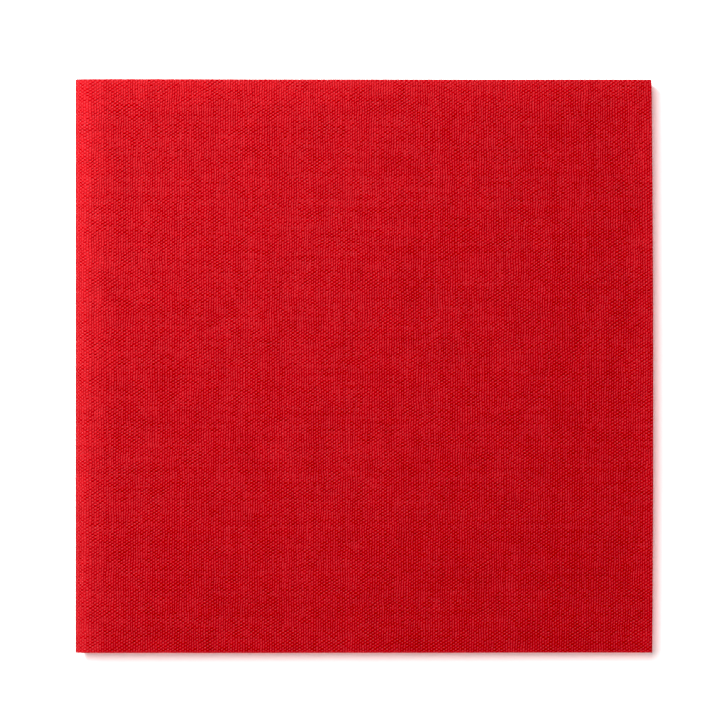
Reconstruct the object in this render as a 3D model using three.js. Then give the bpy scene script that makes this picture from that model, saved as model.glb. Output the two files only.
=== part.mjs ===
// A small flat bolt of cloth: doubled canvas wound on a corrugated board, lying on its back.
// Millimetres, +Z up. +Y is the winding axis, with the lengthwise fold of the doubled cloth at the +Y end
// and its two selvedges at the -Y end. The free end of the cloth lies on top, along the +X side.
// The origin is under the middle of the bolt, on the surface that it lies on.

import * as THREE from "three";

// Overall size of the wound bolt.
const boltWidth = 200;
const boltLength = 199;

// Cloth: two plies lie together, because the cloth is folded in half lengthwise before it is wound.
const clothThickness = 1.1;
const turnPitch = 1.2;
const turnsUnderFreeEnd = 3;
const freeEndOverhang = 0.5;
const innerEndInset = 6;

// Corrugated board.
const linerThickness = 0.3;
const fluteHeight = 2.4;
const flutePaper = 0.25;
const flutePitch = 6.4;
const boardEndInset = 1.5;
const boardSideGap = 0.2;

// Gaps between neighbouring pieces.
const glueGap = 0.02;
const boardGap = 0.1;
const clothBreak = 0.05;
const hingeBreak = 0.3;

// Fineness of curves.
const foldSteps = 16;
const stepsPerFlute = 8;

// Heights above the surface.
const boardBottom = (turnsUnderFreeEnd - 1) * turnPitch + clothThickness + boardGap;
const boardThickness = fluteHeight + 2 * linerThickness;
const boardTop = boardBottom + boardThickness;
const boardMiddle = boardBottom + boardThickness / 2;
const leftFoldMiddle = boardMiddle + turnPitch / 2;

// Radii of the folds, measured to the middle of the doubled cloth.
const innerRightRadius = boardThickness / 2 + boardGap + clothThickness / 2;
const rightFoldRadius = (turn) => innerRightRadius + turn * turnPitch;
const leftFoldRadius = (turn) => rightFoldRadius(turn) + turnPitch / 2;
const lastTurn = turnsUnderFreeEnd - 1;

// Where the folds' centres lie across the bolt.
const leftFoldX = -boltWidth / 2 + leftFoldRadius(lastTurn) + clothThickness / 2;
const rightFoldX = boltWidth / 2 - freeEndOverhang - rightFoldRadius(lastTurn) - clothThickness / 2;

// Heights of the middle of the cloth where it crosses the board.
const overHeight = (pass) => boardMiddle + innerRightRadius + pass * turnPitch;
const underHeight = (turn) => boardMiddle - rightFoldRadius(turn);

const clothFinish = () => new THREE.MeshStandardMaterial({ color: 0xbe1822, roughness: 0.9, metalness: 0 });
const linerFinish = () => new THREE.MeshStandardMaterial({ color: 0xb08a5c, roughness: 0.85, metalness: 0 });
const flutingFinish = () => new THREE.MeshStandardMaterial({ color: 0x9c784c, roughness: 0.9, metalness: 0 });

// Turns an outline drawn across the bolt (x across, y upwards) into a solid that runs along the Y axis.
function alongBolt(shape, length) {
  const geometry = new THREE.ExtrudeGeometry(shape, { depth: length, bevelEnabled: false, steps: 1 });
  geometry.rotateX(Math.PI / 2);
  geometry.translate(0, length / 2, 0);
  return geometry;
}

function namedMesh(name, geometry, material) {
  const mesh = new THREE.Mesh(geometry, material);
  mesh.name = name;
  return mesh;
}

// Points of the cloth's middle line round a fold, with the outward normal at each.
function foldPoints(centreX, centreZ, radius, fromAngle, toAngle) {
  return Array.from({ length: foldSteps + 1 }, (_, i) => {
    const angle = fromAngle + ((toAngle - fromAngle) * i) / foldSteps;
    const outward = new THREE.Vector2(Math.cos(angle), Math.sin(angle));
    return { point: outward.clone().multiplyScalar(radius).add(new THREE.Vector2(centreX, centreZ)), outward };
  });
}

// The right fold takes the cloth from above the board to below it, and the left fold brings it back up.
const rightFold = (turn) =>
  foldPoints(rightFoldX, boardMiddle, rightFoldRadius(turn), Math.PI / 2, -Math.PI / 2);
const leftFold = (turn) =>
  foldPoints(leftFoldX, leftFoldMiddle, leftFoldRadius(turn), -Math.PI / 2, (-3 * Math.PI) / 2);

const above = (x, pass) => ({ point: new THREE.Vector2(x, overHeight(pass)), outward: new THREE.Vector2(0, 1) });
const below = (x, turn) => ({ point: new THREE.Vector2(x, underHeight(turn)), outward: new THREE.Vector2(0, -1) });

// A strip of doubled cloth that follows a path across the bolt.
function clothStrip(name, path) {
  const side = (offset) => path.map((p) => p.point.clone().addScaledVector(p.outward, offset));
  const outline = [...side(clothThickness / 2), ...side(-clothThickness / 2).reverse()];
  return namedMesh(name, alongBolt(new THREE.Shape(outline), boltLength), clothFinish());
}

function board() {
  const width = rightFoldX - leftFoldX - 2 * boardSideGap;
  const middleX = (rightFoldX + leftFoldX) / 2;
  const length = boltLength - 2 * boardEndInset;

  const liner = (name, middleZ) => {
    const geometry = new THREE.BoxGeometry(width, length, linerThickness);
    const mesh = namedMesh(name, geometry, linerFinish());
    mesh.position.set(middleX, 0, middleZ);
    return mesh;
  };

  const group = new THREE.Group();
  group.add(liner("board_front_liner", boardTop - linerThickness / 2));
  group.add(namedMesh("board_fluting", alongBolt(flutedOutline(middleX, width), length), flutingFinish()));
  group.add(liner("board_back_liner", boardBottom + linerThickness / 2));
  return group;
}

// The fluted paper between the liners is a wave of constant thickness.
function flutedOutline(middleX, width) {
  const flutes = Math.floor(width / flutePitch);
  const amplitude = (fluteHeight - flutePaper) / 2 - glueGap;
  const steps = flutes * stepsPerFlute;
  const wave = Array.from({ length: steps + 1 }, (_, i) => {
    const phase = (2 * Math.PI * i) / stepsPerFlute;
    const x = middleX + (i / stepsPerFlute - flutes / 2) * flutePitch;
    const slope = ((2 * Math.PI * amplitude) / flutePitch) * Math.cos(phase);
    const upward = new THREE.Vector2(-slope, 1).normalize();
    return { point: new THREE.Vector2(x, boardMiddle + amplitude * Math.sin(phase)), upward };
  });
  const side = (offset) => wave.map((p) => p.point.clone().addScaledVector(p.upward, offset));
  return new THREE.Shape([...side(flutePaper / 2), ...side(-flutePaper / 2).reverse()]);
}

// The cloth starts on top of the board, and each later piece starts under its right edge.
function cloth() {
  const group = new THREE.Group();
  group.add(clothStrip("cloth_inner_end", [above(leftFoldX + innerEndInset, 0), ...rightFold(0)]));
  for (let turn = 0; turn < lastTurn; turn += 1) {
    const start = below(rightFoldX - clothBreak, turn);
    group.add(clothStrip(`cloth_turn_${turn + 1}`, [start, ...leftFold(turn), ...rightFold(turn + 1)]));
  }
  const outerStart = below(rightFoldX - clothBreak, lastTurn);
  group.add(clothStrip("cloth_outer_turn", [outerStart, ...leftFold(lastTurn)]));
  const freeEnd = [above(leftFoldX + hingeBreak, turnsUnderFreeEnd), above(boltWidth / 2, turnsUnderFreeEnd)];
  group.add(clothStrip("cloth_free_end", freeEnd));
  return group;
}

const group = new THREE.Group();
group.add(board());
group.add(cloth());

export default group;
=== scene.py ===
"""A small flat bolt of red canvas, wound on a corrugated board, on a plain pale floor."""
import math

import bpy
import numpy as np
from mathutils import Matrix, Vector


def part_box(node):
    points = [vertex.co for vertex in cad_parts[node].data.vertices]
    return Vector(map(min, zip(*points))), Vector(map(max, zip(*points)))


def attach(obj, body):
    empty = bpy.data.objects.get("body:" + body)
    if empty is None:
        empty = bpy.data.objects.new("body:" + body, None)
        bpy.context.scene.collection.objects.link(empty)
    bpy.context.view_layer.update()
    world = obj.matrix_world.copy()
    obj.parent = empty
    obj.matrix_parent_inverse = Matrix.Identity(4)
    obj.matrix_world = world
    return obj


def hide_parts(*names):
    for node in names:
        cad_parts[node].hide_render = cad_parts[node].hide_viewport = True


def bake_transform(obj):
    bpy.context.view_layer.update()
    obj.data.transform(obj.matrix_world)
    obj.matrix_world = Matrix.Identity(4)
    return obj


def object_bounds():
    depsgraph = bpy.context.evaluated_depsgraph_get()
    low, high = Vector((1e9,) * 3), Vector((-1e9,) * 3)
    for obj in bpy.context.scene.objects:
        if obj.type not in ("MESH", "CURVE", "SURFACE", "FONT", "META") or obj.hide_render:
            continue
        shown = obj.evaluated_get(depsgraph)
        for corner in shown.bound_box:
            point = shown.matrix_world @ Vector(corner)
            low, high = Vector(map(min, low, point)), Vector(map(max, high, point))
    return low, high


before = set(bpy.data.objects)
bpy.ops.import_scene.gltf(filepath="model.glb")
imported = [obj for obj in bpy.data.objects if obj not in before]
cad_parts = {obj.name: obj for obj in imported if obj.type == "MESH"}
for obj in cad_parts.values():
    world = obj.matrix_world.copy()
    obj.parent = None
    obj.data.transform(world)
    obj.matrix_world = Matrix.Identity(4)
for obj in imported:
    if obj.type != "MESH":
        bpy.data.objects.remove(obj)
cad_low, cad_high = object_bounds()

MM = 0.001

# Cloth, in metres. Threads along the bolt are further apart than threads round it.
PLY = 0.52 * MM
PLY_SPACING = 0.58 * MM
THREAD_PITCH_ROUND = 0.844 * MM
THREAD_PITCH_ALONG = 0.573 * MM
SELVEDGE = 1.6 * MM
SELVEDGE_BLEND = 0.4 * MM

# Weave: how far the threads wander, in pitches, how often they thicken, and how far their noise is stepped
# from thread to thread. Its middle height is MEAN_HEIGHT, and a height of 1 stands for RELIEF, in metres.
THREAD_WANDER = 1.2
SLUBS_PER_METRE = 95
SLUB_STEP = 7.3
MEAN_HEIGHT = 0.81
RELIEF = 0.210 * MM
FUZZ_RELIEF = 0.02 * MM

# Canvas colours: with painted shade between the threads, with a painted highlight on top of them, with a
# paler painted highlight on the highest crossings, and the lighter red of painted light beside the folds and
# the cut end. The share after them is how much of that painted light there is.
CANVAS_GAP_PAINTED_SHADE = (0.213, 0.0008, 0.0016, 1)
CANVAS_TOP_PAINTED_HIGHLIGHT = (0.288, 0.0161, 0.0211, 1)
CANVAS_PAINTED_HIGHLIGHT = (0.34, 0.040, 0.048, 1)
CANVAS_PAINTED_EDGE_LIGHT = (0.5, 0.02, 0.025, 1)
PAINTED_EDGE_LIGHT_SHARE = 0.06
PAINTED_EDGE_LIGHT_WIDTH = 12 * MM

# Board: the pitch and paper of its flutes, how far they lean at a cut end, how deep that reaches and over how
# many flutes it changes. Its paper's fibres lie along y, and its specks are a shade of its dark colour.
FLUTE_PITCH = 6.4 * MM
FLUTE_PAPER = 0.25 * MM
FLUTE_LEAN = 0.35 * MM
LEAN_DEPTH = 2 * MM
LEAN_WAVES = (5.3, 2)
LINER_LIGHT = (0.41, 0.255, 0.12, 1)
LINER_DARK = (0.27, 0.155, 0.066, 1)
FLUTING_LIGHT = (0.36, 0.215, 0.095, 1)
FLUTING_DARK = (0.22, 0.12, 0.05, 1)
FIBRE_SCALE = (2600, 500, 2600)
FIBRE_RELIEF = 0.04 * MM
RIB_RELIEF = 0.08 * MM
SPECK_SHADE = 0.4

# How far the layers of the finished bolt puff up, and how far they close up towards the left fold and the
# lengthwise fold at the back. The left drop starts at LEFT_DROP_START from the left side. In metres.
PUFF = 0.22 * MM
PUFF_WAVES = (0.16, 0.11, 0.083, 0.061, 0.047)
LEFT_DROP = 0.5 * MM
LEFT_DROP_START = 10.5 * MM
LEFT_DROP_WIDTH = 7.6 * MM
BACK_DROP = 0.5 * MM
BACK_DROP_WIDTH = 12 * MM

# The free end: its cut edge bows about a point BOW_CENTRE below the middle, reaches a little past its nominal
# place, curls up, narrows, and sinks at its lengthwise fold and its selvedges. In metres.
END_BOW = 0.45 * MM
BOW_CENTRE = 12 * MM
END_REACH = 0.13 * MM
END_LIFT = 0.5 * MM
END_LIFT_WIDTH = 16 * MM
END_TAPER = 0.19 * MM
FOLD_DROP = 0.16 * MM
FOLD_ROUNDING = 3 * MM
EDGE_DROP = 0.2 * MM
EDGE_ROUNDING = 1.2 * MM
CORNER_ROUNDING = 0.3 * MM

# How far the cloth's long edges stop short of their place: pairs of a least shortfall and a swing, inside the
# bolt and on the outer turn, and over what length of cloth the one becomes the other. The swing is a sum of
# waves of the lengths in EDGE_WAVES, over 2 pi. In metres.
OUTER_PLY_SHORT = ((0.35 * MM, 0.6 * MM), (0.12 * MM, 0.1 * MM))
INNER_PLY_SHORT = ((0.55 * MM, 0.4 * MM), (0.55 * MM, 0.4 * MM))
FOLD_SHORT = ((0.35 * MM, 0.5 * MM), (0, 0.1 * MM))
EDGE_WAVES = (0.061, 0.027, 0.0124)
EDGES_EVEN_OUT = 150 * MM

# Fineness of the meshes. NEAR_ENDS and FLUTE_ROWS are distances from both ends of a run and of the board.
# Points closer than SAME_POINT are one point. Edges between faces over SHARP_ANGLE apart are drawn sharp.
NEAR_ENDS = np.array([0, 0.3, 0.9, 1.8]) * MM
FLAT_STEP = 3 * MM
SAME_POINT = 0.0001 * MM
FOLD_STEPS = 36
HAIRPIN_STEPS = 8
FLUTE_STEPS = 24
FLUTE_ROWS = np.array([0, 0.7, 1.6, 3, 6, 12]) * MM
SHARP_ANGLE = math.radians(50)

# Light: the surroundings' brightness, as a light and as the camera sees them, the overhead light in watts per
# square metre, the others in watts. Places, directions and sizes are in metres.
SURROUNDINGS = 0.24
SURROUNDINGS_SEEN = 1.05
OVERHEAD = 3.3
OVERHEAD_DIRECTION = (-0.19, 0.19, 1.0)
OVERHEAD_SPREAD = math.radians(26)
SIDE = 10.3
SIDE_PLACE = (-0.40, 0.40, 0.38)
SIDE_SIZE = 0.25
LOW_FILL = 2.0
CARD_DISTANCE = 0.3
CARD_LENGTH = 0.6
CARD_HEIGHT = 6 * MM
BLACK_LEVEL = 0.0150

# Camera: the photo's size and the width of the face in it, in pixels, then the camera's distance above the
# face, how far it sees and the middle of its picture, in metres.
FRAME_PX = 720
FACE_WIDTH_PX = 577.7
CAMERA_DISTANCE = 6.0
CLIP_END = 50
PICTURE_MIDDLE = (-1.38 * MM, 2.14 * MM)
SENSOR_WIDTH_MM = 36.0

# Floor: half its width and how far it lies under the bolt, in metres, its colours and its faint glow.
FLOOR_HALF_WIDTH = 12.0
FLOOR_DEPTH = 0.02 * MM
FLOOR_DARK = (0.95, 0.90, 0.90, 1)
FLOOR_LIGHT = (0.97, 0.92, 0.92, 1)
FLOOR_GLOW = 0.1


# ---------------------------------------------------------------- the winding's measures

free_low, free_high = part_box("cloth_free_end")
outer_low, outer_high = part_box("cloth_outer_turn")
inner_low, inner_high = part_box("cloth_inner_end")
turn_1_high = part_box("cloth_turn_1")[1]
turn_2_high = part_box("cloth_turn_2")[1]
board_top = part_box("board_front_liner")[1].z

# PAIR is the thickness of the doubled cloth and PITCH the rise from one turn to the next. The left folds bend
# about LEFT_X and the right folds about RIGHT_X.
BOLT_LENGTH = cad_high.y - cad_low.y
HALF_LENGTH = BOLT_LENGTH / 2
PAIR = free_high.z - free_low.z
PITCH = turn_2_high.z - turn_1_high.z
OUTER_RADIUS = (outer_high.z - outer_low.z) / 2
LEFT_X = outer_low.x + OUTER_RADIUS
RIGHT_X = outer_high.x
LAST_TURN = 2


def over_height(turn):
    """The height of the middle of a turn's pair of plies where it runs over the board."""
    return inner_high.z - PAIR / 2 + turn * PITCH


def under_height(turn):
    """The height of the middle of a turn's pair of plies where it runs under the board."""
    return inner_low.z + PAIR / 2 - turn * PITCH


# ---------------------------------------------------------------- camera

def make_camera():
    """A long lens straight above the bolt, its picture centred a little up and left of the bolt's middle."""
    data = bpy.data.cameras.new("camera")
    data.sensor_width = SENSOR_WIDTH_MM
    seen_width = (cad_high.x - cad_low.x) * FRAME_PX / FACE_WIDTH_PX
    data.lens = data.sensor_width * CAMERA_DISTANCE / seen_width
    data.clip_end = CLIP_END
    camera = bpy.data.objects.new("camera", data)
    camera.location = (*PICTURE_MIDDLE, cad_high.z + CAMERA_DISTANCE)
    bpy.context.collection.objects.link(camera)
    bpy.context.scene.camera = camera


# ---------------------------------------------------------------- node helpers

class Nodes:
    """Short calls for building a material's node tree."""

    def __init__(self, name):
        self.material = bpy.data.materials.new(name)
        self.material.use_nodes = True
        self.tree = self.material.node_tree
        self.tree.nodes.clear()
        self.shader = self.add("ShaderNodeBsdfPrincipled")
        output = self.add("ShaderNodeOutputMaterial")
        self.link(self.shader.outputs["BSDF"], output.inputs["Surface"])

    def add(self, kind, **settings):
        """A new node of a kind, with its settings."""
        node = self.tree.nodes.new(kind)
        for key, value in settings.items():
            setattr(node, key, value)
        return node

    def link(self, source, target):
        self.tree.links.new(source, target)

    def feed(self, socket, value):
        """Links a socket to another node's output, or sets it to a number or colour."""
        if isinstance(value, bpy.types.NodeSocket):
            self.link(value, socket)
        elif value is not None:
            socket.default_value = value

    def math(self, operation, a, b=None, c=None):
        node = self.add("ShaderNodeMath", operation=operation)
        for socket, value in zip(node.inputs, (a, b, c)):
            self.feed(socket, value)
        return node.outputs[0]

    def vector(self, x, y, z=0.0):
        node = self.add("ShaderNodeCombineXYZ")
        for socket, value in zip(node.inputs, (x, y, z)):
            self.feed(socket, value)
        return node.outputs[0]

    def split(self, vector):
        """A vector's three parts."""
        node = self.add("ShaderNodeSeparateXYZ")
        self.link(vector, node.inputs[0])
        return node.outputs

    def noise(self, vector, scale=1.0, detail=2.0, roughness=0.5):
        """Noise from about 0 to 1, 0.5 on average."""
        node = self.add("ShaderNodeTexNoise")
        self.feed(node.inputs["Vector"], vector)
        node.inputs["Scale"].default_value = scale
        node.inputs["Detail"].default_value = detail
        node.inputs["Roughness"].default_value = roughness
        return node.outputs["Fac"]

    def random(self, value):
        """The same random number from 0 to 1 each time for the same value."""
        node = self.add("ShaderNodeTexWhiteNoise", noise_dimensions="1D")
        self.feed(node.inputs["W"], value)
        return node.outputs["Value"]

    def ramp(self, value, low, high, to_low=0.0, to_high=1.0):
        """An eased step: to_low where value is low or less, to_high where it is high or more."""
        node = self.add("ShaderNodeMapRange", interpolation_type="SMOOTHSTEP")
        for socket, number in zip(node.inputs, (value, low, high, to_low, to_high)):
            self.feed(socket, number)
        return node.outputs[0]

    def mix(self, share, a, b):
        node = self.add("ShaderNodeMix", data_type="RGBA")
        self.feed(node.inputs["Factor"], share)
        self.feed(node.inputs["A"], a)
        self.feed(node.inputs["B"], b)
        return node.outputs["Result"]

    def scale_colour(self, colour, by):
        node = self.add("ShaderNodeVectorMath", operation="SCALE")
        self.feed(node.inputs[0], colour)
        self.feed(node.inputs["Scale"], by)
        return node.outputs[0]

    def bump(self, height, distance, strength=1.0, normal=None):
        """A normal from a height in shares of distance, on top of another normal if one is given."""
        node = self.add("ShaderNodeBump")
        node.inputs["Strength"].default_value = strength
        node.inputs["Distance"].default_value = distance
        self.feed(node.inputs["Height"], height)
        if normal is not None:
            self.link(normal, node.inputs["Normal"])
        return node.outputs["Normal"]


# ---------------------------------------------------------------- materials

def slubs(n, along, index, seed):
    """A thread's thickness against the others': its own, and thick and thin stretches along it.

    The noise is stepped so far from thread to thread that neighbours' stretches have nothing in common.
    """
    own = n.ramp(n.random(n.math("ADD", index, seed)), 0, 1, -0.5, 0.5)
    place = n.vector(n.math("MULTIPLY", along, SLUBS_PER_METRE), n.math("MULTIPLY", index, SLUB_STEP), seed)
    stretch = n.noise(place, detail=3, roughness=0.65)
    return n.math("ADD", own, n.ramp(stretch, 0.28, 0.72, -1, 1))


def woven_height(n, s, v, u_place, v_place, column, row):
    """The height of a plain weave of even threads, in shares of RELIEF.

    u_place and v_place are places in thread pitches, and column and row their whole numbers.
    """
    # At each crossing one thread is on top, so crossings stand high and low in turn, like a chequerboard.
    across_u = n.math("SINE", n.math("MULTIPLY", u_place, math.pi))
    across_v = n.math("SINE", n.math("MULTIPLY", v_place, math.pi))
    crossing = n.math("MULTIPLY", across_u, across_v)

    # No two crossings stand equally high. The two factors only give each crossing a number of its own.
    own_size = n.random(n.math("MULTIPLY_ADD", row, 78.233, n.math("MULTIPLY", column, 12.9898)))
    crossing = n.math("MULTIPLY", crossing, n.ramp(own_size, 0, 1, 0.55, 1.45))

    # The cloth's tension is uneven, so in places the crossings stand up and in others the upright threads do.
    tension = n.noise(n.vector(s, v, 4.0), scale=150, detail=2)
    mean_ridge = 2 / math.pi
    ridge_u = n.math("SUBTRACT", n.math("ABSOLUTE", across_u), mean_ridge)
    ridge_v = n.math("SUBTRACT", n.math("ABSOLUTE", across_v), mean_ridge)
    crossing_share = n.ramp(tension, 0.3, 0.7, 0.40, 0.68)
    upright_share = n.ramp(tension, 0.3, 0.7, 0.68, 0.38)
    height = n.math("MULTIPLY_ADD", crossing, crossing_share, MEAN_HEIGHT)
    height = n.math("MULTIPLY_ADD", ridge_u, upright_share, height)
    return n.math("MULTIPLY_ADD", ridge_v, 0.08, height)


def canvas_colour(n, s, v, tightness, woven, slub_along, slub_round, fibres):
    """Deep red with painted shade between the threads and a painted highlight on top of them, a little uneven
    all over.
    """
    painted = n.math("MULTIPLY_ADD", slub_along, 0.03, woven)
    painted = n.math("MULTIPLY_ADD", slub_round, 0.04, painted)
    # Painted shade between the threads and a painted highlight on top of them.
    colour = n.mix(n.ramp(painted, 0.2, 1.3), CANVAS_GAP_PAINTED_SHADE, CANVAS_TOP_PAINTED_HIGHLIGHT)

    # The highest crossings get a paler painted highlight.
    colour = n.mix(n.ramp(painted, 1.45, 1.9), colour, CANVAS_PAINTED_HIGHLIGHT)

    # Painted light: the cloth is a little lighter beside its folds and its cut end, less where it is bent.
    from_painted_light = n.add("ShaderNodeAttribute", attribute_name="from painted light lines").outputs["Fac"]
    not_bent = n.math("SUBTRACT", 1.0, tightness)
    painted_light_share = n.math("MULTIPLY", n.ramp(from_painted_light, 0, PAINTED_EDGE_LIGHT_WIDTH, PAINTED_EDGE_LIGHT_SHARE, 0), not_bent)
    colour = n.mix(painted_light_share, colour, CANVAS_PAINTED_EDGE_LIGHT)

    cloudy = n.noise(n.vector(s, v, 2.0), scale=90, detail=4, roughness=0.8)
    tone = n.math("MULTIPLY_ADD", slub_along, 0.035, 1.0)
    tone = n.math("MULTIPLY_ADD", slub_round, 0.02, tone)
    tone = n.math("ADD", tone, n.ramp(fibres, 0.25, 0.75, -0.12, 0.12))
    tone = n.math("ADD", tone, n.ramp(cloudy, 0.3, 0.7, -0.05, 0.05))
    return n.scale_colour(colour, tone)


def canvas_material():
    """Plain-weave canvas: every thread goes over one and under the next.

    The threads are placed by the cloth's own coordinates: s along the cloth and v across it from its
    lengthwise fold, in metres. tightness is 1 where the cloth is bent sharply and 0 where it is flat.
    """
    n = Nodes("red canvas")
    weave = n.add("ShaderNodeAttribute", attribute_name="weave").outputs["Vector"]
    s, v, tightness = n.split(weave)

    # Places in thread pitches. Threads wander a little, by a share of their pitch.
    wander_u = n.noise(n.vector(s, v, 0.3), scale=170, detail=2)
    wander_v = n.noise(n.vector(s, v, 0.7), scale=200, detail=2)
    u_place = n.math("MULTIPLY_ADD", wander_u, THREAD_WANDER, n.math("DIVIDE", s, THREAD_PITCH_ROUND))
    v_place = n.math("MULTIPLY_ADD", wander_v, THREAD_WANDER, n.math("DIVIDE", v, THREAD_PITCH_ALONG))
    column = n.math("FLOOR", u_place)
    row = n.math("FLOOR", v_place)

    woven = woven_height(n, s, v, u_place, v_place, column, row)
    slub_along = slubs(n, v, column, 0.0)
    slub_round = slubs(n, s, row, 0.37)
    height = n.math("MULTIPLY_ADD", slub_along, 0.17, woven)
    height = n.math("MULTIPLY_ADD", slub_round, 0.12, height)

    # The selvedge is woven closer, and the cloth is drawn tight round its folds, so both are smoother.
    cloth_edge = BOLT_LENGTH - SELVEDGE
    selvedge = n.ramp(n.math("ABSOLUTE", v), cloth_edge, cloth_edge + SELVEDGE_BLEND)
    smooth = n.math("MAXIMUM", selvedge, n.math("MULTIPLY", tightness, tightness))
    relief = n.math("MULTIPLY", height, n.ramp(smooth, 0, 1, 1.0, 0.9))

    fibres = n.noise(n.vector(s, v), scale=5200, detail=3, roughness=0.7)
    colour = canvas_colour(n, s, v, tightness, woven, slub_along, slub_round, fibres)
    n.link(colour, n.shader.inputs["Base Color"])
    n.shader.inputs["Roughness"].default_value = 0.68
    n.shader.inputs["Specular IOR Level"].default_value = 0.02
    fuzz = n.bump(fibres, FUZZ_RELIEF, 0.6)
    n.link(n.bump(relief, RELIEF, 1.0, fuzz), n.shader.inputs["Normal"])
    return n.material


def paper_material(name, light, dark, rib_pitch=None):
    """Brown board paper: fibres, darker specks and, on a liner, faint lines where the flutes are glued."""
    n = Nodes(name)
    place = n.add("ShaderNodeTexCoord").outputs["Object"]
    x, y, z = n.split(place)
    fibre_place = [n.math("MULTIPLY", part, scale) for part, scale in zip((x, y, z), FIBRE_SCALE)]
    fibres = n.noise(n.vector(*fibre_place), detail=4, roughness=0.65)
    mottle = n.noise(place, scale=90, detail=4, roughness=0.6)
    specks = n.ramp(n.noise(place, scale=900, detail=1), 0.68, 0.76)
    share = n.math("ADD", n.ramp(fibres, 0.3, 0.7, 0, 0.6), n.ramp(mottle, 0.3, 0.7, 0, 0.4))
    colour = n.mix(share, dark, light)
    speck_colour = (dark[0] * SPECK_SHADE, dark[1] * SPECK_SHADE, dark[2] * SPECK_SHADE, 1)
    colour = n.mix(n.math("MULTIPLY", specks, 0.45), colour, speck_colour)
    relief = n.bump(fibres, FIBRE_RELIEF, 0.7)
    if rib_pitch:
        ribs = n.math("SINE", n.math("MULTIPLY", x, 2 * math.pi / rib_pitch))
        colour = n.scale_colour(colour, n.ramp(ribs, -1, 1, 0.9, 1.03))
        relief = n.bump(ribs, RIB_RELIEF, 0.8, relief)
    n.link(colour, n.shader.inputs["Base Color"])
    n.link(n.ramp(mottle, 0.3, 0.7, 0.8, 0.95), n.shader.inputs["Roughness"])
    n.shader.inputs["Specular IOR Level"].default_value = 0.25
    n.link(relief, n.shader.inputs["Normal"])
    return n.material


def floor_material():
    """A pale matt floor that shines faintly, so that it stays near white beside the bolt."""
    n = Nodes("pale floor")
    place = n.add("ShaderNodeTexCoord").outputs["Object"]
    grain = n.noise(place, scale=700, detail=2)
    n.link(n.mix(grain, FLOOR_DARK, FLOOR_LIGHT), n.shader.inputs["Base Color"])
    n.shader.inputs["Roughness"].default_value = 0.9
    n.shader.inputs["Specular IOR Level"].default_value = 0.1
    n.shader.inputs["Emission Color"].default_value = (1, 1, 1, 1)
    n.shader.inputs["Emission Strength"].default_value = FLOOR_GLOW
    return n.material


# ---------------------------------------------------------------- paths round the bolt

def straight_steps(length):
    """Distances along a straight run: evenly spaced, and closer near its ends."""
    inside = np.arange(FLAT_STEP, length - FLAT_STEP + SAME_POINT, FLAT_STEP)
    return np.concatenate([NEAR_ENDS, inside, length - NEAR_ENDS[::-1]])


def flat_run(x_from, x_to, z, facing):
    """Points of a straight run of cloth, as rows of x, z and the outward normal's x and z."""
    x = x_from + np.sign(x_to - x_from) * straight_steps(abs(x_to - x_from))
    return np.stack([x, np.full_like(x, z), np.zeros_like(x), np.full_like(x, facing)], 1)


def fold(centre_x, low_z, high_z, side):
    """Points of a half-round fold from low_z to high_z, bulging to side (-1 left, 1 right)."""
    radius = (high_z - low_z) / 2
    angle = np.linspace(-math.pi / 2, math.pi / 2, FOLD_STEPS + 1)
    out_x, out_z = side * np.cos(angle), np.sin(angle)
    return np.stack([centre_x + radius * out_x, (low_z + high_z) / 2 + radius * out_z, out_x, out_z], 1)


def left_fold(turn):
    """From under the board up to the next turn over it."""
    return fold(LEFT_X, under_height(turn), over_height(turn + 1), -1)


def right_fold(turn):
    """From over the board down to the same turn under it."""
    return fold(RIGHT_X, under_height(turn), over_height(turn), 1)[::-1]


def joined(*runs):
    """One path from several runs, without the doubled points where they meet."""
    points = np.concatenate(runs)
    step = np.linalg.norm(np.diff(points[:, :2], axis=0), axis=1)
    return points[np.concatenate([[True], step > SAME_POINT])]


def distances(path):
    """The distance along a path to each of its points."""
    step = np.linalg.norm(np.diff(path[:, :2], axis=0), axis=1)
    return np.concatenate([[0], np.cumsum(step)])


# ---------------------------------------------------------------- cloth

def smoothstep(share):
    """Eases from 0 to 1 as share goes from 0 to 1."""
    share = np.clip(share, 0, 1)
    return share * share * (3 - 2 * share)


def waves(x, y, wavelengths, seed):
    """A smooth uneven surface from 0 to 1, the sum of waves in several directions."""
    draw = np.random.default_rng(seed)
    total = np.zeros_like(x)
    for wavelength in wavelengths:
        turn, phase = draw.uniform(0, 2 * math.pi, 2)
        total += np.sin(2 * math.pi * (x * math.cos(turn) + y * math.sin(turn)) / wavelength + phase)
    return 0.5 + 0.5 * total / len(wavelengths)


def settled(points):
    """Lifts or lowers the upper layers a little, more the higher they are, so no layer crosses another."""
    share = np.clip((points[:, 2] - board_top) / (free_high.z - board_top), 0, 1)
    lift = PUFF * waves(points[:, 0], points[:, 1], PUFF_WAVES, seed=5)
    near_left = smoothstep((cad_low.x + LEFT_DROP_START - points[:, 0]) / LEFT_DROP_WIDTH)
    near_back = np.clip(1 - (cad_high.y - points[:, 1]) / BACK_DROP_WIDTH, 0, 1)
    points[:, 2] += share * (lift - LEFT_DROP * near_left - BACK_DROP * near_back ** 2)
    return points


def across_cloth(length):
    """The cloth's profile across its unfolded width: outer ply, lengthwise fold, inner ply.

    Rows of the share of the ply from selvedge to fold, y past the fold, offset, the normal's part along y and
    its part along the offset, and the distance from the fold, positive on the outer ply.
    """
    run = straight_steps(length)
    half = PLY_SPACING / 2
    rows = [(r / length, 0, half, 0, 1, length - r) for r in run]
    for angle in np.linspace(0, math.pi, HAIRPIN_STEPS + 1)[1:-1]:
        reach = half * math.sin(angle)
        rows.append((1, reach, half * math.cos(angle), math.sin(angle), math.cos(angle), -half * angle))
    rows += [(r / length, 0, -half, 0, -1, r - length - half * math.pi) for r in run[::-1]]
    return np.array(rows)


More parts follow.
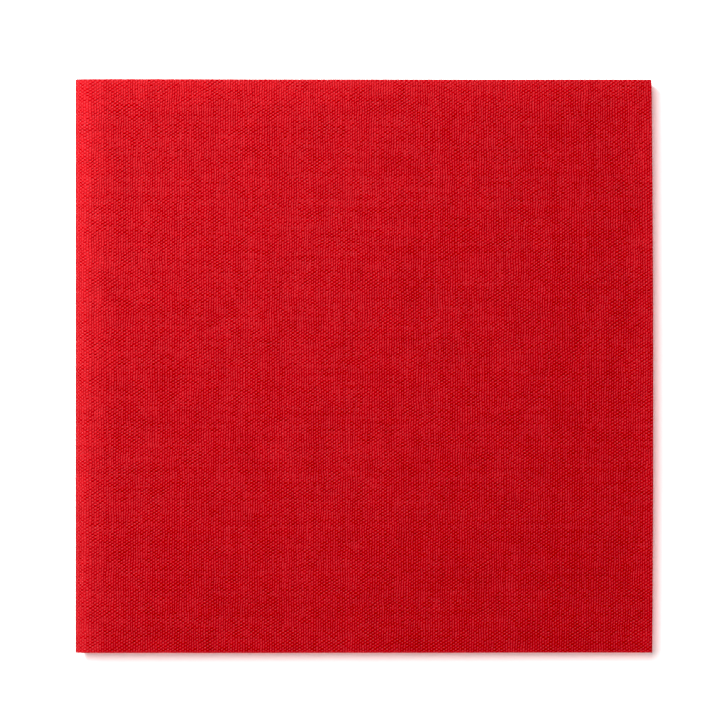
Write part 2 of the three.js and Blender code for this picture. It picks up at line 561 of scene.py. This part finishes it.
def slab(name, first, second, material):
    """A closed thin piece between two grids of points, the first on the side that faces out."""
    index = np.arange(first.shape[0] * first.shape[1]).reshape(first.shape[:2])
    top, bottom = index, index + index.size

    def quads(a, b, c, d):
        return np.stack([a.ravel(), b.ravel(), c.ravel(), d.ravel()], 1)

    faces = [
        quads(top[:-1, :-1], top[:-1, 1:], top[1:, 1:], top[1:, :-1]),
        quads(bottom[:-1, :-1], bottom[1:, :-1], bottom[1:, 1:], bottom[:-1, 1:]),
        quads(top[0, 1:], top[0, :-1], bottom[0, :-1], bottom[0, 1:]),
        quads(top[-1, :-1], top[-1, 1:], bottom[-1, 1:], bottom[-1, :-1]),
        quads(top[:-1, 0], top[1:, 0], bottom[1:, 0], bottom[:-1, 0]),
        quads(top[1:, -1], top[:-1, -1], bottom[:-1, -1], bottom[1:, -1]),
    ]
    vertices = np.concatenate([first.reshape(-1, 3), second.reshape(-1, 3)])
    mesh = bpy.data.meshes.new(name)
    mesh.from_pydata(vertices.tolist(), [], np.concatenate(faces).tolist())
    mesh.shade_smooth()
    mesh.set_sharp_from_angle(angle=SHARP_ANGLE)
    mesh.materials.append(material)
    piece = bpy.data.objects.new(name, mesh)
    bpy.context.collection.objects.link(piece)
    return piece


def set_point_values(mesh, name, kind, field, values):
    """Stores the same values on the points of both sides of a slab."""
    attribute = mesh.attributes.new(name, kind, "POINT")
    attribute.data.foreach_set(field, np.concatenate([values.ravel()] * 2).astype(np.float32))


def strip_points(path, along, profile, ends):
    """The middle of the cloth and its outward normal, at each point along the path and across the cloth."""
    share, past, offset, normal_y, normal_out = profile[:, :5].T
    outer_short, inner_short, fold_short = (short(along) for short in ends)
    on_outer_ply = np.arange(len(profile)) <= np.argmax(share)
    fold_y = (HALF_LENGTH - PLY_SPACING / 2 - PLY / 2 - fold_short)[:, None]
    edge_y = np.where(on_outer_ply[None, :], outer_short[:, None], inner_short[:, None]) - HALF_LENGTH

    out = np.stack([path[:, 2], np.zeros(len(path)), path[:, 3]], 1)
    centre = np.stack([path[:, 0], np.zeros(len(path)), path[:, 1]], 1)
    middle = centre[:, None, :] + out[:, None, :] * offset[None, :, None]
    middle[:, :, 1] = edge_y + (fold_y - edge_y) * share[None, :] + past[None, :]
    normal = out[:, None, :] * normal_out[None, :, None]
    normal[:, :, 1] += normal_y[None, :]
    return middle, normal


def mark_cloth(mesh, path, along, profile):
    """Stores each point's place in the cloth, how tightly it is bent and how far it is from a fold or an end,
    where painted light lightens it.
    """
    normal_y, v = profile[:, 3], profile[:, 5]
    tightness = np.maximum(np.abs(path[:, 2])[:, None], np.abs(normal_y)[None, :])
    weave = np.stack(np.broadcast_arrays(along[:, None], v[None, :], tightness), 2)
    set_point_values(mesh, "weave", "FLOAT_VECTOR", "vector", weave)

    # Painted light lies along the cloth's folds, across it and lengthwise, and along its ends.
    painted_light_lines = along[(path[:, 2] != 0) | (along == along[0]) | (along == along[-1])]
    from_line = np.abs(along[:, None] - painted_light_lines[None, :]).min(1)
    from_painted_light = np.minimum(from_line[:, None], np.abs(v)[None, :])
    set_point_values(mesh, "from painted light lines", "FLOAT", "value", from_painted_light)


def sheet_mesh(name, path, start, ends, canvas, shape=None):
    """A strip of doubled cloth that follows a path round the bolt, and its flat length and width.

    start is the distance along the cloth where the strip begins. ends gives, for each of the outer ply, inner
    ply and fold, how far it stops short of the cloth's nominal edge at each distance along the strip.
    """
    profile = across_cloth(BOLT_LENGTH)
    along = distances(path) + start
    middle, normal = strip_points(path, along, profile, ends)
    both_sides = []
    for side in (1, -1):
        points = (middle + normal * (side * PLY / 2)).reshape(-1, 3)
        if shape is not None:
            points = shape(points)
        both_sides.append(settled(points).reshape(middle.shape))
    piece = slab(name, *both_sides, canvas)
    mark_cloth(piece.data, path, along, profile)
    return piece, (float(along[-1] - along[0]), float(np.ptp(profile[:, 5])))


def wandering(inside, outside, outside_from, seed):
    """How far an edge of the cloth stops short of where it should, at each distance along the cloth.

    inside and outside are a least shortfall and a swing, the first for the turns inside the bolt and the
    second for the outer turn, which starts at outside_from.
    """
    draw = np.random.default_rng(seed)
    phase = draw.uniform(0, 2 * math.pi, len(EDGE_WAVES))

    def short(along):
        total = sum(np.sin(along / wave + p) for wave, p in zip(EDGE_WAVES, phase))
        share = smoothstep((along - outside_from) / EDGES_EVEN_OUT)
        least, swing = ((1 - share) * a + share * b for a, b in zip(inside, outside))
        return least + swing * (0.5 + 0.5 * total / len(EDGE_WAVES))

    return short


def free_end_shape(vertices):
    """The cut end of the cloth bows out in its middle and curls up, and its fold and selvedges sink."""
    x, y, z = vertices.T
    on_top = z > over_height(LAST_TURN + 1) - PAIR
    share = np.clip((x - LEFT_X) / (cad_high.x - LEFT_X), 0, 1)
    near_fold = np.clip(1 - (HALF_LENGTH - y) / FOLD_ROUNDING, 0, 1)
    corner = np.clip(1 - (HALF_LENGTH - y) / (2 * CORNER_ROUNDING), 0, 1)
    bow = END_BOW * ((y + BOW_CENTRE) / HALF_LENGTH) ** 2 - END_REACH + CORNER_ROUNDING * corner ** 2
    near_end = np.clip(1 - (cad_high.x - x) / END_LIFT_WIDTH, 0, 1)
    vertices[:, 0] = np.where(on_top, x - bow * share, x)
    vertices[:, 1] = np.where(on_top, y * (1 - END_TAPER * share / HALF_LENGTH), y)
    near_edge = np.clip(1 - (HALF_LENGTH + y) / EDGE_ROUNDING, 0, 1)
    lift = END_LIFT * near_end ** 2 - FOLD_DROP * near_fold ** 2 - EDGE_DROP * near_edge ** 2
    vertices[:, 2] = np.where(on_top, z + lift, z)
    return vertices


def cloth_paths():
    """The path of each strip of the cloth from the inside out, by the name of the node where it starts."""
    paths = {"cloth_inner_end": joined(flat_run(inner_low.x, RIGHT_X, over_height(0), 1), right_fold(0))}
    for turn in range(LAST_TURN):
        paths[f"cloth_turn_{turn + 1}"] = joined(
            flat_run(RIGHT_X, LEFT_X, under_height(turn), -1), left_fold(turn),
            flat_run(LEFT_X, RIGHT_X, over_height(turn + 1), 1), right_fold(turn + 1))
    paths["cloth_outer_turn"] = joined(
        flat_run(RIGHT_X, LEFT_X, under_height(LAST_TURN), -1), left_fold(LAST_TURN),
        flat_run(LEFT_X, cad_high.x, over_height(LAST_TURN + 1), 1))
    return paths


def make_cloth():
    """The whole length of cloth, in four strips that meet edge to edge."""
    canvas = canvas_material()
    paths = cloth_paths()
    outer_start = sum(distances(path)[-1] for name, path in paths.items() if name != "cloth_outer_turn")
    ends = (
        wandering(*OUTER_PLY_SHORT, outer_start, seed=3),
        wandering(*INNER_PLY_SHORT, outer_start, seed=13),
        wandering(*FOLD_SHORT, outer_start, seed=23),
    )
    start = 0.0
    for name, path in paths.items():
        last = name == "cloth_outer_turn"
        shape = free_end_shape if last else None
        piece, flat = sheet_mesh(name + "_cloth", path, start, ends, canvas, shape)
        start += distances(path)[-1]
        if last:
            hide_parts("cloth_outer_turn", "cloth_free_end")
            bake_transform(piece)
        else:
            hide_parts(name)
            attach(piece, "winding")


# ---------------------------------------------------------------- board

def make_fluting(material):
    """The waved paper inside the board, with its flutes leaning a little where the board was cut."""
    low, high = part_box("board_fluting")
    flutes = math.floor((high.x - low.x) / FLUTE_PITCH)
    amplitude = (high.z - low.z - FLUTE_PAPER) / 2
    phase = np.linspace(0, 2 * math.pi * flutes, flutes * FLUTE_STEPS + 1)
    slope = 2 * math.pi * amplitude / FLUTE_PITCH * np.cos(phase)
    length = np.hypot(slope, 1)
    x = (low.x + high.x) / 2 + (phase / (2 * math.pi) - flutes / 2) * FLUTE_PITCH
    z = (low.z + high.z) / 2 + amplitude * np.sin(phase)
    slow, fast = LEAN_WAVES
    lean = FLUTE_LEAN * np.sin(phase / slow) * np.cos(phase / fast)

    rows = np.concatenate([low.y + FLUTE_ROWS, high.y - FLUTE_ROWS[::-1]])
    to_end = np.minimum(rows - low.y, high.y - rows)
    x_rows = x[None, :] + lean[None, :] * np.exp(-to_end / LEAN_DEPTH)[:, None]
    sides = []
    for side in (1, -1):
        offset = side * FLUTE_PAPER / 2
        x_side = x_rows - (offset * slope / length)[None, :]
        z_side = np.broadcast_to(z + offset / length, x_side.shape)
        sides.append(np.stack([x_side, np.broadcast_to(rows[:, None], x_side.shape), z_side], 2))
    return slab("board_fluting_paper", sides[0], sides[1], material)


def make_board():
    """The board's two flat plies are the CAD's own nodes, and its fluted ply is made here."""
    liner = paper_material("board liner", LINER_LIGHT, LINER_DARK, FLUTE_PITCH)
    fluting = paper_material("board fluting", FLUTING_LIGHT, FLUTING_DARK)
    for name in ("board_front_liner", "board_back_liner"):
        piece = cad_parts[name]
        piece.data.materials.clear()
        piece.data.materials.append(liner)
    paper = make_fluting(fluting)
    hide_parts("board_fluting")
    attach(paper, "board")


# ---------------------------------------------------------------- floor and light

def make_floor():
    """A wide pale floor just under the bolt, so that the two don't share a plane."""
    mesh = bpy.data.meshes.new("floor")
    corners = [(-1, -1), (1, -1), (1, 1), (-1, 1)]
    points = [(x * FLOOR_HALF_WIDTH, y * FLOOR_HALF_WIDTH, -FLOOR_DEPTH) for x, y in corners]
    mesh.from_pydata(points, [], [(0, 1, 2, 3)])
    mesh.materials.append(floor_material())
    floor = bpy.data.objects.new("floor", mesh)
    bpy.context.collection.objects.link(floor)


def aimed(light, place, aim=(0, 0, 0)):
    """Puts a light in the scene at a place, facing another."""
    light.location = place
    light.rotation_mode = "QUATERNION"
    light.rotation_quaternion = (Vector(aim) - Vector(place)).to_track_quat("-Z", "Y")
    bpy.context.collection.objects.link(light)


def make_surroundings():
    """White surroundings, which the camera sees brighter than they shine."""
    world = bpy.data.worlds.new("studio")
    world.use_nodes = True
    tree = world.node_tree
    background = tree.nodes["Background"]
    background.inputs["Color"].default_value = (1, 1, 1, 1)
    strength = tree.nodes.new("ShaderNodeMapRange")
    strength.inputs["To Min"].default_value = SURROUNDINGS
    strength.inputs["To Max"].default_value = SURROUNDINGS_SEEN
    path = tree.nodes.new("ShaderNodeLightPath")
    tree.links.new(path.outputs["Is Camera Ray"], strength.inputs["Value"])
    tree.links.new(strength.outputs["Result"], background.inputs["Strength"])
    bpy.context.scene.world = world


def make_lights():
    """A broad soft light almost overhead, a nearer one, low at the upper left, and two low cards."""
    overhead = bpy.data.lights.new("overhead", "SUN")
    overhead.energy = OVERHEAD
    overhead.angle = OVERHEAD_SPREAD
    aimed(bpy.data.objects.new("overhead", overhead), OVERHEAD_DIRECTION)

    side = bpy.data.lights.new("side", "AREA")
    side.shape = "SQUARE"
    side.size = SIDE_SIZE
    side.energy = SIDE
    aimed(bpy.data.objects.new("side", side), SIDE_PLACE)

    # Two long low cards light the bolt's right and front sides and stay below its top.
    for name, x, y in (("right card", CARD_DISTANCE, 0), ("front card", 0, -CARD_DISTANCE)):
        card = bpy.data.lights.new(name, "AREA")
        card.shape = "RECTANGLE"
        card.size = CARD_LENGTH
        card.size_y = CARD_HEIGHT
        card.energy = LOW_FILL
        lamp = bpy.data.objects.new(name, card)
        lamp.visible_camera = False
        aimed(lamp, (x, y, CARD_HEIGHT / 2), (0, 0, CARD_HEIGHT / 2))


def set_picture():
    """The photo's deepest reds have no green or blue left, so the picture's black level is raised."""
    view = bpy.context.scene.view_settings
    view.view_transform = "Standard"
    view.use_curve_mapping = True
    view.curve_mapping.black_level = (BLACK_LEVEL,) * 3
    view.curve_mapping.update()


make_camera()
make_cloth()
make_board()
make_floor()
make_surroundings()
make_lights()
set_picture()
